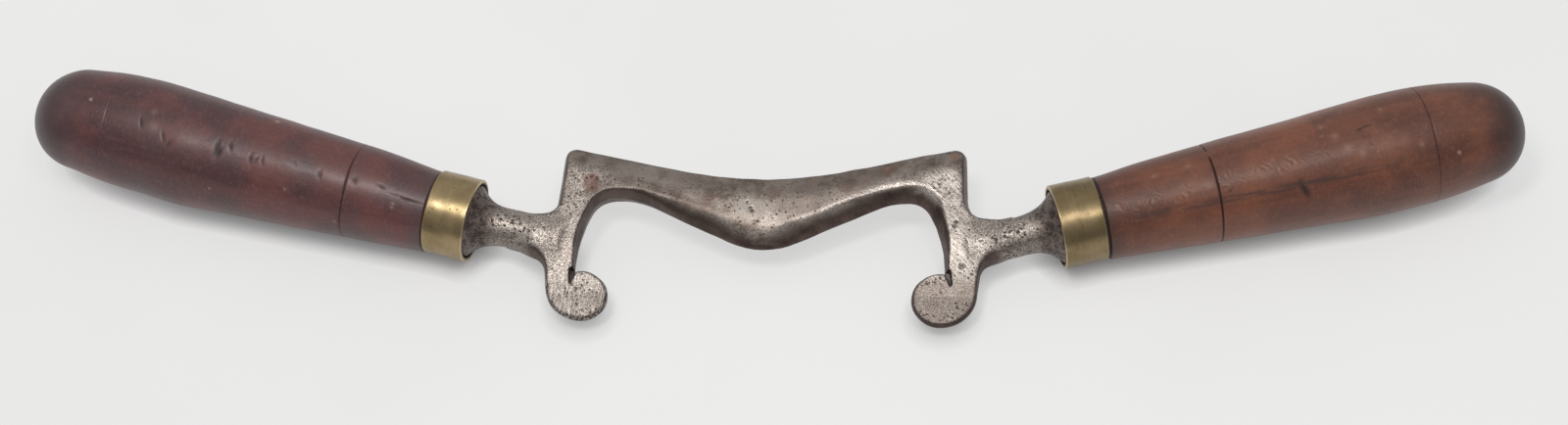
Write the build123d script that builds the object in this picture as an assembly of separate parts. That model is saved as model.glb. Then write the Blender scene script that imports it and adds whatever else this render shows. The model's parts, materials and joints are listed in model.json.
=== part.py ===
"""Two-handled draw tool: a one-piece steel blade frame with scrolled arms, two brass ferrules and two turned grips.

Every piece is drawn in the tool's own plane: X along the tool, Y from the scrolls to the hollow edge, Z through the
forging's thickness, origin at the middle of the hollow edge. The finished pieces are then laid on a bench, where the
tool stands on the bellies of its two grips and on the front rims of its two ferrules, with the hollow edge raised.
Side is 1 for the right half, at +X, and -1 for the left half. Lengths are millimetres and angles are degrees.
"""

from build123d import *
from math import acos, asin, atan2, cos, degrees, hypot, radians, sin, sqrt, tan
import os

# Bar, with its hollow edge and its belly
THICKNESS = 10.0
DRAFT = 16.0  # of the side walls, to both sides of a parting ridge at mid-thickness
EDGE_RADIUS = 100.0  # hollow of the edge
WING_SLOPE = 11.1  # straight runs of the edge beyond the hollow
CORNER_X = 58.0
CORNER_RADIUS = 2.4
EDGE_LAND = 2.4  # thickness left along the edge
BEVEL_WIDTH = 6.5
BELLY_DEPTH = 22.0  # from the edge to the belly's lowest point
BELLY_RADIUS = 23.0  # at the belly's nose, and where its flanks turn level
FLANK_SLOPE = 25.5
FLANK_LENGTH = 24.2
BELLY_ROUNDING = 3.0

# Arms and scrolls
THROAT_RADIUS = 7.0  # inner corner between bar and arm
THROAT_TURN = 62.0
ARM_RADIUS = 35.0  # bow of the arm's inner side
SCROLL_RADIUS = 7.7
SCROLL_X = 50.8
SCROLL_Y = -36.4
SCROLL_THICKNESS = 3.0
HOOK_RADIUS = 10.3  # outer side of the hook, rising from the scroll's lowest point
HOOK_TURN = 82.0
THINNING_TOP_Y = -22.0  # where the arms start to thin
THINNING_END_Y = -35.5
ARM_FOOT_X = 60.4  # outer side of the arm where it meets the shank
SHANK_TOP_FILLET = 4.0
SHANK_BOTTOM_FILLET = 8.5

# Shank, bolster and tang, on the grip's axis. Distances along that axis count outwards from the ferrule's front rim
GRIP_SLOPE = 14.2
RIM_X = 83.5
RIM_Y = -14.0
SHANK_RADIUS = 5.6
SHANK_ROOT = -25.0  # inner end, buried in the arm
WEB_DRESS_START = -20.5  # the flat web is dressed down into the round shank between these two
WEB_DRESS_END = -12.5
WEB_DRESS_HEIGHT = 2.8  # half the web's thickness where the dressing ends
WEB_END = -11.5
FLARE_START = -12.0
FLARE_EDGE = 0.2
BOLSTER_RADIUS = 10.4
TANG_LENGTH = 78.0
TANG_ROOT_WIDTH = 8.6
TANG_TIP_WIDTH = 5.0

# Ferrules
LEFT_FERRULE_LENGTH = 12.1
RIGHT_FERRULE_LENGTH = 12.5
FERRULE_RADIUS = 12.15
FERRULE_WALL = 1.3
FERRULE_ROUNDING = 0.3

# Grips. Distances count outwards from the start of the grip's taper, which is this far behind the ferrule's front rim
GRIP_START = 13.0
END_GRAIN = 2.2  # recess of the wood behind the ferrule's front rim
FRONT_RADIUS = 12.4
WIDEST_RADIUS = 17.35
WIDEST_AT = 88.5
BOW_RADIUS = 120.0  # bow of the outline around the widest place
SCORE_WIDTH = 0.6
SCORE_DEPTH = 0.5
SOCKET_CLEARANCE = 4.0  # beyond the tang's tip
LEFT_GRIP = {"length": 122.8, "scores": (23.3, 97.0), "shoulder": -0.7}
RIGHT_GRIP = {"length": 125.2, "scores": (32.4, 95.1), "shoulder": 0.6}

HALF = THICKNESS / 2
SEAT_RADIUS = FERRULE_RADIUS - FERRULE_WALL


def grip_plane(side):
    """Plane whose X runs outwards along one grip's axis, from the middle of the ferrule's front rim."""
    lean = radians(GRIP_SLOPE)
    return Plane(origin=(side * RIM_X, RIM_Y, 0), x_dir=(side * cos(lean), sin(lean), 0), z_dir=(0, 0, 1))


def turned(outline, side):
    """Solid of revolution on one grip's axis, from a closed outline of (distance along, radius)."""
    return grip_plane(side).location * revolve(make_face(outline), Axis.X)


def crossing(start, direction, other, other_direction):
    """Where two straight lines of the drawing plane cross."""
    gap = other - start
    turn = direction.X * other_direction.Y - direction.Y * other_direction.X
    return start + direction * ((gap.X * other_direction.Y - gap.Y * other_direction.X) / turn)


def edge_path():
    """The right half of the hollow edge, from its middle to the outer corner."""
    hollow = JernArc((0, 0), (1, 0), EDGE_RADIUS, WING_SLOPE)
    rise = (CORNER_X - (hollow @ 1).X) * tan(radians(WING_SLOPE))
    return hollow, Line(hollow @ 1, (CORNER_X, (hollow @ 1).Y + rise))


def half_outline():
    """The right half of the plate, closed along the middle and across the shank."""
    hollow, wing = edge_path()

    nose = JernArc((0, -BELLY_DEPTH), (1, 0), BELLY_RADIUS, FLANK_SLOPE)
    flank = Line(nose @ 1, (nose @ 1) + (nose % 1) * FLANK_LENGTH)
    level = JernArc(flank @ 1, flank % 1, BELLY_RADIUS, -FLANK_SLOPE)
    throat = JernArc(level @ 1, level % 1, THROAT_RADIUS, -THROAT_TURN)
    arm = JernArc(throat @ 1, throat % 1, ARM_RADIUS, THROAT_TURN - 90)

    notch_x = (arm @ 1).X
    notch = Vector(notch_x, SCROLL_Y + sqrt(SCROLL_RADIUS**2 - (notch_x - SCROLL_X) ** 2))
    inmost = Vector(SCROLL_X - SCROLL_RADIUS, SCROLL_Y)
    lowest = Vector(SCROLL_X, SCROLL_Y - SCROLL_RADIUS)
    over = RadiusArc(notch, inmost, -SCROLL_RADIUS)
    under = RadiusArc(inmost, lowest, -SCROLL_RADIUS)
    hook = JernArc(lowest, (1, 0), HOOK_RADIUS, HOOK_TURN)

    grip = grip_plane(1)
    top = grip.from_local_coords(Vector(WEB_END, SHANK_RADIUS))
    bottom = grip.from_local_coords(Vector(WEB_END, -SHANK_RADIUS))
    below = crossing(hook @ 1, hook % 1, bottom, grip.x_dir)
    above = crossing(Vector(ARM_FOOT_X, 0), Vector(0, 1), top, grip.x_dir)

    web = Polyline(hook @ 1, below, bottom, top, above, wing @ 1)
    middle = Line((0, 0), (0, -BELLY_DEPTH))
    drop = Line(arm @ 1, notch)
    face = make_face([hollow, wing, web, hook, under, over, drop, arm, throat, level, flank, nose, middle])
    for corner, radius in (
        (wing @ 1, CORNER_RADIUS),
        (above, SHANK_TOP_FILLET),
        (below, SHANK_BOTTOM_FILLET),
    ):
        face = fillet(face.vertices().sort_by_distance(corner)[0], radius)
    return face


def edge_bevel():
    """What is dressed off one face of the plate along the right half of the hollow edge."""
    hollow, wing = edge_path()
    reach = 3.0
    slope = (HALF - EDGE_LAND / 2) / BEVEL_WIDTH
    low = (reach, EDGE_LAND / 2 - slope * reach)
    high = (-BEVEL_WIDTH - reach, HALF + slope * reach)
    profile = Plane.YZ * make_face(Polyline(low, high, (reach, high[1]), low))
    path = Wire([hollow, wing, Line(wing @ 1, (wing @ 1) + (wing % 1) * 2 * reach)])
    return sweep(profile, path=path)


def web_dressing(side):
    """Wedge dressed off one face of a web, until its corners lie within the round of the shank."""
    wedge = Polyline(
        (WEB_DRESS_START, HALF),
        (WEB_DRESS_END, WEB_DRESS_HEIGHT),
        (WEB_END + 1, WEB_DRESS_HEIGHT),
        (WEB_END + 1, THICKNESS),
        (WEB_DRESS_START, THICKNESS),
        close=True,
    )
    across = extrude(Plane.XZ * make_face(wedge), amount=2 * SHANK_RADIUS, both=True)
    return grip_plane(side).location * across


def arm_thinning():
    """What is dressed off one face of both arms, down to the thickness of the scrolls."""
    low = SCROLL_THICKNESS / 2
    slope = (HALF - low) / (THINNING_TOP_Y - THINNING_END_Y)
    beyond = SCROLL_Y - 2 * SCROLL_RADIUS
    side = Polyline(
        (beyond, low),
        (THINNING_END_Y, low),
        (THINNING_TOP_Y + 1 / slope, HALF + 1),
        (beyond, HALF + 1),
        close=True,
    )
    return extrude(Plane.YZ * make_face(side), amount=2 * CORNER_X, both=True)


def both_faces(cut):
    """A cut and its twin on the forging's other face."""
    return [cut, mirror(cut, about=Plane.XY)]


def plate():
    """The flat part of the forging, drafted from a parting ridge at mid-thickness: bar, belly, arms and scrolls."""
    right = half_outline()
    outline = (right + mirror(right, about=Plane.YZ)).face()
    upper = extrude(outline, amount=HALF, taper=DRAFT)
    whole = upper + mirror(upper, about=Plane.XY)
    for bevel in both_faces(edge_bevel()):
        whole = whole - bevel - mirror(bevel, about=Plane.YZ)

    belly_edges = [
        edge
        for edge in whole.edges()
        if abs(abs(edge.center().Z) - HALF) < 0.01
        and abs(edge.center().X) < SCROLL_X / 2
        and edge.center().Y < -BELLY_DEPTH / 2
    ]
    whole = fillet(belly_edges, BELLY_ROUNDING)
    for dressing in (arm_thinning(), web_dressing(1), web_dressing(-1)):
        for cut in both_faces(dressing):
            whole -= cut
    return whole


def shank(side):
    """Round shank that flares into the bolster, which bears on the grip's end grain."""
    foot = (FLARE_START, SHANK_RADIUS)
    rim = (FLARE_EDGE, BOLSTER_RADIUS)
    flare = Spline(foot, rim, tangents=[(1, 0), (0.45, 1)])
    rest = Polyline(rim, (END_GRAIN, BOLSTER_RADIUS), (END_GRAIN, 0), (SHANK_ROOT, 0), (SHANK_ROOT, SHANK_RADIUS), foot)
    return turned([flare, rest], side)


def tang(side, extra=0.0):
    """Square tang tapering outwards from the bolster, with its taper carried on by extra."""
    length = TANG_LENGTH + extra
    tip = TANG_ROOT_WIDTH + (TANG_TIP_WIDTH - TANG_ROOT_WIDTH) * length / TANG_LENGTH
    ends = [
        Plane.YZ.offset(END_GRAIN) * Rectangle(TANG_ROOT_WIDTH, TANG_ROOT_WIDTH),
        Plane.YZ.offset(END_GRAIN + length) * Rectangle(tip, tip),
    ]
    return grip_plane(side).location * loft(ends)


def blade_frame():
    """The one-piece forging: plate, shanks, bolsters and tangs."""
    frame = plate()
    for side in (-1, 1):
        frame = frame + shank(side) + tang(side)
    return frame


def ferrule(side, length):
    """Plain brass tube with its edges broken."""
    wall = Polyline(
        (0, SEAT_RADIUS),
        (length, SEAT_RADIUS),
        (length, FERRULE_RADIUS),
        (0, FERRULE_RADIUS),
        close=True,
    )
    tube = turned(wall, side)
    outer = tube.edges().sort_by(lambda edge: -edge.radius if edge.geom_type == GeomType.CIRCLE else 0)[:2]
    return fillet(outer, FERRULE_ROUNDING)


def bow_centre():
    """Centre of the grip outline's bow, as (distance along the grip, radius)."""
    return Vector(WIDEST_AT, WIDEST_RADIUS - BOW_RADIUS)


def bow_start():
    """Where the grip's straight taper runs into its bow."""
    centre = bow_centre()
    front = Vector(0, FRONT_RADIUS) - centre
    turn = atan2(front.Y, front.X) - acos(BOW_RADIUS / hypot(front.X, front.Y))
    return centre + Vector(cos(turn), sin(turn)) * BOW_RADIUS


def grip_radius(along):
    """Radius of the grip's outline, from its start as far as the butt."""
    start, centre = bow_start(), bow_centre()
    if along < start.X:
        return FRONT_RADIUS + (start.Y - FRONT_RADIUS) * along / start.X
    return centre.Y + sqrt(BOW_RADIUS**2 - (along - centre.X) ** 2)


def grip(side, length, scores, shoulder):
    """Turned grip with its seat inside the ferrule, two scored rings and the tang's blind socket."""
    shift = Vector(GRIP_START, 0)
    centre = bow_centre()
    beyond = length - centre.X
    butt_radius = (BOW_RADIUS**2 - centre.Y**2 - beyond**2) / (2 * (BOW_RADIUS - beyond))
    to_butt = Vector(length - butt_radius, 0) - centre
    butt_start = centre + to_butt.normalized() * BOW_RADIUS

    front = Vector(shoulder, grip_radius(shoulder)) + shift
    taper = Line(front, bow_start() + shift)
    bow = TangentArc(taper @ 1, butt_start + shift, tangent=taper % 1)
    butt = TangentArc(bow @ 1, Vector(length, 0) + shift, tangent=bow % 1)
    inside = Polyline(butt @ 1, (END_GRAIN, 0), (END_GRAIN, SEAT_RADIUS), (front.X, SEAT_RADIUS), front)
    wood = turned([taper, bow, butt, inside], side)

    for score in scores:
        floor = grip_radius(score) - SCORE_DEPTH
        mark = Pos(score + GRIP_START, floor) * Rectangle(
            SCORE_WIDTH, 4 * SCORE_DEPTH, align=(Align.CENTER, Align.MIN)
        )
        wood -= turned(mark.edges(), side)
    return wood - tang(side, extra=SOCKET_CLEARANCE)


def bench_tilt():
    """Angle that raises the hollow edge until the ferrules' front rims and the grips' bellies touch one plane."""
    centre = bow_centre()
    along = GRIP_START + centre.X - FERRULE_ROUNDING
    across = FERRULE_RADIUS - FERRULE_ROUNDING - centre.Y
    rise = asin((BOW_RADIUS - FERRULE_ROUNDING) / hypot(along, across)) - atan2(across, along)
    return degrees(asin(sin(rise) / sin(radians(GRIP_SLOPE))))


def lay_on_bench(pieces):
    """The pieces standing on Z = 0, mirror plane at X = 0, midway between their nearest and farthest reach."""
    tilted = {name: Rot(X=bench_tilt()) * piece for name, piece in pieces.items()}
    boxes = [piece.bounding_box() for piece in tilted.values()]
    low = min(box.min.Z for box in boxes)
    middle = (min(box.min.Y for box in boxes) + max(box.max.Y for box in boxes)) / 2
    return {name: Pos(0, -middle, -low) * piece for name, piece in tilted.items()}


pieces = {
    "blade_frame": blade_frame(),
    "left_ferrule": ferrule(-1, LEFT_FERRULE_LENGTH),
    "right_ferrule": ferrule(1, RIGHT_FERRULE_LENGTH),
    "left_grip": grip(-1, **LEFT_GRIP),
    "right_grip": grip(1, **RIGHT_GRIP),
}

os.makedirs("parts", exist_ok=True)
for name, piece in lay_on_bench(pieces).items():
    export_step(piece, f"parts/{name}.step")
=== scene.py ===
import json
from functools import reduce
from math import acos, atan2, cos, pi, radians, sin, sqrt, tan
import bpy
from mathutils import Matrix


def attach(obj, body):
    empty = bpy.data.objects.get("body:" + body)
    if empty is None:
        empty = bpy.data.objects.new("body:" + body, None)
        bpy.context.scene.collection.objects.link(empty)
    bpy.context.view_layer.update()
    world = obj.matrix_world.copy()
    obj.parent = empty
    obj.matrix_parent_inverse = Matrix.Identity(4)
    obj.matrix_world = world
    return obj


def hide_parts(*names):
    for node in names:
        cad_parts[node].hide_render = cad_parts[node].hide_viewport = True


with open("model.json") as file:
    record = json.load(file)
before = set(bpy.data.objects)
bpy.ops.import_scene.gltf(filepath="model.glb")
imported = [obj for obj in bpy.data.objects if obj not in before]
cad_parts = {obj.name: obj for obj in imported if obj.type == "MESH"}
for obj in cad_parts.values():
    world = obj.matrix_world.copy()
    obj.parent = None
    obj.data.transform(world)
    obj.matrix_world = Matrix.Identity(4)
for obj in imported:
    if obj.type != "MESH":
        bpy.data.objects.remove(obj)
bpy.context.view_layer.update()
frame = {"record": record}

# Looks of the drawknife. Every piece is shaped in the tool's own plane, in millimetres: u along the tool, v
# from the scrolls to the hollow edge, w through the forging, origin at the middle of the hollow edge. Each is
# then laid in the row frame, in metres, by the two flat faces that the record names as mounts. Side is 1 for
# the right half and -1 for the left.

from types import SimpleNamespace

import bpy
import numpy as np
from mathutils import Matrix, Vector

MM = 0.001

# ---- Dimensions (mm, radians), near the CAD's. The tool's two halves differ a little, so some are per side.

HALF = 5.0
DRAFT = radians(16)
ARM_DRAFT = {-1: radians(10), 1: radians(19)}  # the arms' inner walls
EDGE_RADIUS = {-1: 130.0, 1: 100.0}
WING_SLOPE = {-1: radians(11.9), 1: radians(12.4)}
CORNER_RADIUS = 3.2
CORNER_U = 58.0
EDGE_LAND = 2.4
BEVEL_WIDTH = 6.5
BEVEL_BLEND = 1.3
BELLY_DEPTH = 22.0
BELLY_RADIUS = 23.0
FLANK_SLOPE = radians(25.5)
FLANK_LENGTH = {-1: 25.8, 1: 24.0}
THROAT_RADIUS = 7.0
THROAT_TURN = radians(62)
HOLLOW_DEPTH = 1.1  # of the shallow hollow in the middle of the bar's faces
WORN_WIDTH = 4.6  # of the worn slope along the right flank's near edge
WORN_SLOPE = 0.27

ARM_RADIUS = 35.0
ARM_FOOT_U = {-1: 60.2, 1: 58.5}
THINNING = (-21.0, -36.0)  # where the arms' thinning starts and ends, in v
THINNING_BLEND = 0.8
SCROLL_U = {-1: 51.2, 1: 50.6}
SCROLL_V = -36.9
SCROLL_RADIUS = {-1: 7.4, 1: 8.15}
SCROLL_HALF = 1.5
DISC_STEPS = 30
HOOK_RADIUS = 10.6
HOOK_TURN = radians(82)
NOTCH = {-1: ((54.1, -30.1), (54.7, -33.3)), 1: ((52.8, -29.6), (53.6, -32.8))}  # mouth and tip of each slit
SLIT_DEPTH = 3.6
THINNEST = 0.95  # half the metal left under a slit
MOUNT_V = -12.0  # where the two named flat faces are, in v

GRIP_SLOPE = radians(14.2)
RIM_U = 83.5  # middle of a ferrule's front rim
RIM_V = -14.0
SHANK_RADIUS = 5.6
SHANK_ROOT = -25.0  # this and the next ones are distances out from the rim
ROOT_NARROWING = 1.3
WEB_DRESS = (-20.5, -12.5)
WEB_DRESS_HALF = 2.8
WEB_BLEND = 1.6
WEB_END = -11.5
FLARE_START = -13.0
FLARE_EDGE = 0.2
FLARE_POWER = 3.6
SHANK_TOP_FILLET = {-1: 5.0, 1: 6.5}
SHANK_BOTTOM_FILLET = 7.0
SHANK_SHIFT = {-1: 0.45, 1: -0.3}  # the shanks' middles are a little off the grips' axes
BOLSTER_RADIUS = 10.4
END_GRAIN = 2.2
TANG_LENGTH = 78.0
TANG_HALF = (4.3, 2.5)
TANG_CORNER = 0.5

FERRULE_LENGTHS = {-1: 12.1, 1: 12.5}
FERRULE_RADIUS = 12.15
FERRULE_WALL = 1.3

GRIP_START = 13.0  # distances along a grip are counted from here
FRONT_RADIUS = 12.4
WIDEST_RADIUS = 17.35
WIDEST_AT = 88.5
BOW_RADIUS = 120.0
BUTT_TRIM = {-1: 1.3, 1: 0.6}  # worn off the butts' near sides
SOCKET_CLEARANCE = 4.0
SCORE_DEPTH = 0.42
SCORE_WIDTH = 0.24
SKIN_RADIUS = 15.0  # mean radius, which makes turns round a grip into lengths

PLATE_REACH = (-47.0, 16.0)  # of the forging's mesh grid, in v
HALF_HEIGHT = 11.7  # of the same grid
TANG_LINES = 30  # of the same grid, over each tang
STREWN_PITS = 420
UNEVEN_SEED = 11
PIT_SEED = 23
AROUND = 256  # points round a turned piece
ANGLES = np.linspace(0, 2 * pi, AROUND, endpoint=False)

FLOOR_SIZE = 5.0  # metres to each side
FLOOR_GLOW = 0.545
CAMERA_ELEVATION = radians(67)  # over the tool's plane
CAMERA_AZIMUTH = radians(7.30)
CAMERA_ROLL = radians(-6.1)
CAMERA_DISTANCE = 845.1
CAMERA_AIM = (5.65, -10.25, 0.0)

# ---- The tool's plane in the row frame

faces = {mount["name"]: mount for mount in frame["record"]["mounts"]}
NORMAL = np.array(faces["upper_face"]["axis"])
ALONG = np.array((1.0, 0.0, 0.0))
FAR = np.cross(NORMAL, ALONG)
TOOL_AXES = np.array((ALONG, FAR, NORMAL))
mid_thickness = (np.array(faces["upper_face"]["pos_m"]) + np.array(faces["lower_face"]["pos_m"])) / 2
TOOL_ORIGIN = mid_thickness - FAR * MOUNT_V * MM


def to_row(points):
    """Row-frame points, in metres, of (n, 3) tool points in mm."""
    return TOOL_ORIGIN + np.asarray(points) @ TOOL_AXES * MM


def grip_axes(side):
    """(origin, outward direction, direction towards the hollow edge) of a grip's axis in the plane."""
    along = np.array((side * cos(GRIP_SLOPE), sin(GRIP_SLOPE)))
    across = np.array((-side * sin(GRIP_SLOPE), cos(GRIP_SLOPE)))
    return np.array((side * RIM_U, RIM_V)), along, across


def grip_place(u, v):
    """Distances out from the ferrule's rim and off the grip's axis of places on either side."""
    origin, along, across = grip_axes(1)
    du, dv = np.abs(u) - origin[0], v - origin[1]
    return du * along[0] + dv * along[1], du * across[0] + dv * across[1]


def tang_half(distance):
    """Half the tang's width at a distance from the ferrule's rim."""
    return TANG_HALF[0] + (TANG_HALF[1] - TANG_HALF[0]) * (distance - END_GRAIN) / TANG_LENGTH


# ---- Number helpers


def ramp(x, low, high):
    """0 below low, 1 above high, smooth between. Low may be above high."""
    t = np.clip((x - low) / (high - low), 0, 1)
    return t * t * (3 - 2 * t)


def by_side(values, u):
    """The left or the right one of a pair of values, by the sign of u."""
    return np.where(u < 0, values[-1], values[1])


def soft_min(a, b, k):
    """The smaller of a and b, blended over about k. A negative k gives the larger."""
    h = np.clip(0.5 + 0.5 * (b - a) / k, 0, 1)
    return b + (a - b) * h - k * h * (1 - h)


def waves(u, v, w, length, seed, count=7):
    """Smooth seeded unevenness of about unit height, from plane waves near one wavelength."""
    rng = np.random.default_rng(seed)
    total = 0.0
    for _ in range(count):
        direction = rng.normal(size=3)
        direction *= 2 * pi / (length * rng.uniform(0.7, 1.4) * np.linalg.norm(direction))
        phase = direction[0] * u + direction[1] * v + direction[2] * w + rng.uniform(0, 2 * pi)
        total = total + np.sin(phase)
    return total / sqrt(count)


# ---- Mesh helpers


def add_piece(name, vertices, polygons, node):
    """Smooth-shaded mesh object that stands for one CAD node."""
    mesh = bpy.data.meshes.new(name)
    mesh.from_pydata(vertices.tolist(), [], polygons)
    mesh.update()
    mesh.shade_smooth()
    piece = bpy.data.objects.new(name, mesh)
    bpy.context.scene.collection.objects.link(piece)
    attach(piece, "root")
    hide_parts(node)
    return piece


def add_values(piece, **named):
    """Numbers or vectors for the piece's vertices, by name, for its material to read."""
    for name, values in named.items():
        values = np.asarray(values, np.float32)
        kind, field = ("FLOAT", "value") if values.ndim == 1 else ("FLOAT_VECTOR", "vector")
        attribute = piece.data.attributes.new(name, kind, "POINT")
        attribute.data.foreach_set(field, values.ravel())


# ---- The forging's outline at mid-thickness


class Pen:
    """A pen that draws straight runs and arcs, each carrying on in the direction of the last."""

    def __init__(self, start, heading):
        self.points = [np.array(start, float)]
        self.heading = heading

    def direction(self):
        return np.array((cos(self.heading), sin(self.heading)))

    def line(self, length):
        self.points.append(self.points[-1] + self.direction() * length)
        return self

    def arc(self, radius, turn, step=0.11):
        """Turns left for a positive angle and right for a negative one."""
        sign = 1 if turn > 0 else -1
        left = np.array((-sin(self.heading), cos(self.heading))) * sign
        centre = self.points[-1] + left * radius
        for i in range(1, max(4, round(abs(turn) / step)) + 1):
            at = self.heading + turn * i / max(4, round(abs(turn) / step))
            self.points.append(centre + np.array((sin(at), -cos(at))) * radius * sign)
        self.heading += turn
        return self


def meeting(start, direction, other, other_direction):
    """Where two straight lines cross."""
    gap = other - start
    turn = direction[0] * other_direction[1] - direction[1] * other_direction[0]
    return start + direction * ((gap[0] * other_direction[1] - gap[1] * other_direction[0]) / turn)


def rounded_corner(before, corner, after, radius, steps=7):
    """Points of the arc that rounds a corner."""
    a = (before - corner) / np.linalg.norm(before - corner)
    b = (after - corner) / np.linalg.norm(after - corner)
    half = acos(np.clip(a @ b, -1, 1)) / 2
    middle = (a + b) / np.linalg.norm(a + b)
    centre = corner + middle * radius / sin(half)
    start, end = corner + a * radius / tan(half), corner + b * radius / tan(half)
    first = atan2(*(start - centre)[::-1])
    turn = (atan2(*(end - centre)[::-1]) - first + pi) % (2 * pi) - pi
    return [centre + radius * np.array((cos(first + turn * i / steps), sin(first + turn * i / steps)))
            for i in range(steps + 1)]


def half_outline(side):
    """One half of the outline, as if on the right, from the belly's middle round to the hollow edge's."""
    inner = Pen((0, -BELLY_DEPTH), 0.0)
    inner.arc(BELLY_RADIUS, FLANK_SLOPE).line(FLANK_LENGTH[side]).arc(BELLY_RADIUS, -FLANK_SLOPE)
    inner.arc(THROAT_RADIUS, -THROAT_TURN).arc(ARM_RADIUS, THROAT_TURN - pi / 2)

    scroll = np.array((SCROLL_U[side], SCROLL_V))
    scroll_radius = SCROLL_RADIUS[side]
    start_u = inner.points[-1][0]
    start = np.array((start_u, SCROLL_V + sqrt(scroll_radius**2 - (start_u - scroll[0]) ** 2)))
    first = atan2(*(start - scroll)[::-1])
    disc = [scroll + scroll_radius * np.array((cos(at), sin(at)))
            for at in np.linspace(first, 1.5 * pi, DISC_STEPS + 1)]

    hook = Pen(disc[-1], 0.0).arc(HOOK_RADIUS, HOOK_TURN)
    origin, along, across = grip_axes(1)
    top = origin + along * WEB_END + across * SHANK_RADIUS
    bottom = origin + along * WEB_END - across * SHANK_RADIUS
    below = meeting(hook.points[-1], hook.direction(), bottom, along)
    above = meeting(np.array((ARM_FOOT_U[side], 0.0)), np.array((0.0, 1.0)), top, along)

    edge = Pen((0, 0), 0.0).arc(EDGE_RADIUS[side], WING_SLOPE[side])
    corner = edge.points[-1] + edge.direction() * (CORNER_U - edge.points[-1][0]) / cos(WING_SLOPE[side])
    rim = rounded_corner(hook.points[-1], below, bottom, SHANK_BOTTOM_FILLET) + [bottom, top]
    rim += rounded_corner(top, above, corner, SHANK_TOP_FILLET[side])
    rim += rounded_corner(above, corner, edge.points[-1], CORNER_RADIUS)
    return inner.points + disc + hook.points[1:] + rim + edge.points[::-1][:-1]


def outline():
    """The whole outline, closed. Its halves differ a little, as hand forging leaves them."""
    right = half_outline(1)
    left = [point * (-1, 1) for point in half_outline(-1)]
    return np.array(right + [np.zeros(2)] + left[::-1][:-1])


OUTLINE = outline()


def depth_inside(u, v):
    """Distance of plane points to the outline, positive inside."""
    shape = np.shape(u)
    points = np.stack((np.ravel(u), np.ravel(v)), 1)
    a, b = OUTLINE, np.roll(OUTLINE, -1, 0)
    run = b - a
    reach = (run**2).sum(1)
    result = np.empty(len(points))
    for i in range(0, len(points), 16384):
        p = points[i:i + 16384, None]
        gap = p - a
        share = np.clip((gap * run).sum(2) / reach, 0, 1)
        distance = np.sqrt(((gap - share[..., None] * run) ** 2).sum(2).min(1))
        straddles = (a[:, 1] > p[..., 1]) != (b[:, 1] > p[..., 1])
        with np.errstate(divide="ignore", invalid="ignore"):
            crossed = straddles & (p[..., 0] < run[:, 0] * gap[..., 1] / run[:, 1] + a[:, 0])
        result[i:i + 16384] = np.where(crossed.sum(1) % 2, distance, -distance)
    return result.reshape(shape)


# ---- The forging as a solid field: negative inside, near zero it is a distance in mm



def edge_depth(u, v):
    """Distance from the hollow edge into the bar."""
    slope, radius = by_side(WING_SLOPE, u), by_side(EDGE_RADIUS, u)
    u = np.abs(u)
    hollow = np.hypot(u, radius - v) - radius
    turn_u = radius * np.sin(slope)
    level = radius * (1 - np.cos(slope))
    wing = (level + (u - turn_u) * np.tan(slope) - v) * np.cos(slope)
    return np.where(u < turn_u, hollow, wing)


def slit(u, v, mouth, tip):
    """Depth, 0 to 1, of a pointed slit between two places."""
    run = np.array(tip) - np.array(mouth)
    share = np.clip(((u - mouth[0]) * run[0] + (v - mouth[1]) * run[1]) / (run @ run), 0, 1)
    gap = np.hypot(u - mouth[0] - share * run[0], v - mouth[1] - share * run[1])
    return ramp(gap / (1.15 - 0.75 * share), 1.0, 0.35)


def notch(u, v):
    """Depth, 0 to 1, of the slits between the arms' feet and the scrolls."""
    return np.where(u < 0, slit(-u, v, *NOTCH[-1]), slit(u, v, *NOTCH[1]))


def half_thickness(u, v):
    """Half the thickness: bevelled along the edge, thinner at the scrolls, dressed down to the shanks."""
    bevel = EDGE_LAND / 2 + (HALF - EDGE_LAND / 2) * edge_depth(u, v) / BEVEL_WIDTH
    thick = soft_min(np.full_like(bevel, HALF), bevel, BEVEL_BLEND)
    slope = (HALF - SCROLL_HALF) / (THINNING[0] - THINNING[1])
    thinned = np.maximum(HALF + (v - THINNING[0]) * slope, SCROLL_HALF)
    thick = soft_min(thick, thinned, THINNING_BLEND)
    slope = (HALF - WEB_DRESS_HALF) / (WEB_DRESS[1] - WEB_DRESS[0])
    web = np.maximum(HALF - (grip_place(u, v)[0] - WEB_DRESS[0]) * slope, WEB_DRESS_HALF)
    thick = soft_min(thick, web, WEB_BLEND)
    thick = thick - HOLLOW_DEPTH * ramp(edge_depth(u, v), 11, 21) * ramp(np.abs(u + 1), 24, 4)
    return np.maximum(thick - SLIT_DEPTH * notch(u, v), THINNEST)


def rounding(u, v):
    """Radius of the roll-over between the faces and the walls: wide along the belly, small elsewhere."""
    near_side = ramp(edge_depth(u, v), 7, 12) * ramp(v, -26, -20)
    belly = near_side * ramp(u, -44, -16) * ramp(u, 55, 49)
    middle = ramp(np.abs(u + 1), 22, 2) * near_side
    outer_shoulder = ramp(np.abs(u), 54, 58) * ramp(v, -16, -10)
    return 0.45 + 3.1 * belly + 1.2 * middle + 0.5 * outer_shoulder * (1 - belly)


def near_band(u, v):
    """Where the right flank's and throat's near edge is worn to a slope: 1 there, 0 elsewhere."""
    return ramp(edge_depth(u, v), 5, 9) * ramp(u, 0, 9) * ramp(u, 54, 49) * ramp(v, -24, -18)


def wall_slope(u, v):
    """How far the walls lean in for each mm above or below mid-thickness."""
    on_arm = ramp(np.abs(u), 34, 46) * ramp(np.abs(u), 56.5, 55) * ramp(v, 0, -4) * ramp(v, -33, -29)
    return tan(DRAFT) + (np.tan(by_side(ARM_DRAFT, u)) - tan(DRAFT)) * on_arm


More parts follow.
